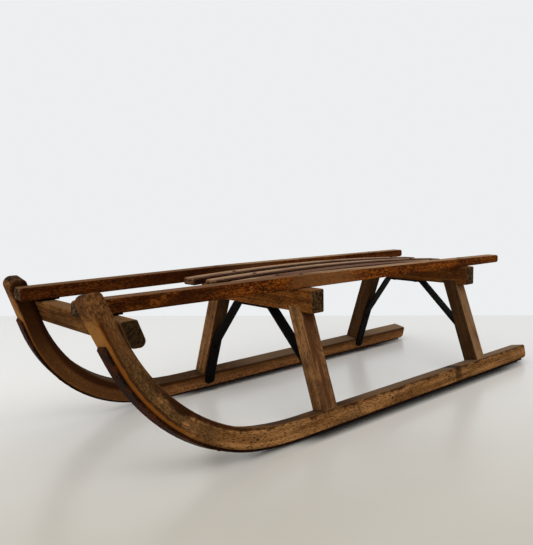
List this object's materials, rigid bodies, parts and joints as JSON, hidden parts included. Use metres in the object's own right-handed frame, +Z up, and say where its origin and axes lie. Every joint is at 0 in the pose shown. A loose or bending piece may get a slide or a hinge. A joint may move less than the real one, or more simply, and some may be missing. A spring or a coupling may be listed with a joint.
{
  "type": "wooden sled",
  "caption": "Old slatted wooden sled: bent runners with raised horns and iron shoes, splayed legs on iron stays, cross bolsters and a deck of rails and bowed slats, pulled over snow.",
  "frame": {"origin": "on the floor, under the middle of the sled's box", "axes": "+X forwards to the horns, +Y to the sled's left, +Z up"},
  "size_m": [1.0066, 0.3578, 0.2558],
  "materials": {
    "runner_wood": "aged brown, dirty on the horns, worn golden at the front",
    "leg_wood": "aged mid brown, satin",
    "bolster_wood": "aged brown with dark end grain",
    "crossbar_wood": "grey-brown, scratched, with dark end grain",
    "rail_wood": "orange-brown sides, tops worn lighter",
    "slat_wood": "worn light grey-brown, satin",
    "shoe_iron": "dark rust brown",
    "stay_iron": "near black with a little rust"
  },
  "bodies": {
    "root": {"runner_left": "runner_wood", "runner_right": "runner_wood", "shoe_left": "shoe_iron", "shoe_right": "shoe_iron", "leg_front_left": "leg_wood", "leg_front_right": "leg_wood", "leg_rear_left": "leg_wood", "leg_rear_right": "leg_wood", "bolster_front": "bolster_wood", "bolster_rear": "bolster_wood", "crossbar_front": "crossbar_wood", "rail_left": "rail_wood", "rail_right": "rail_wood", "slat_left": "slat_wood", "slat_middle": "slat_wood", "slat_right": "slat_wood", "stay_front": "stay_iron", "stay_rear": "stay_iron", "horn_strap_left": "stay_iron", "horn_strap_right": "stay_iron"}
  },
  "joints": []
}
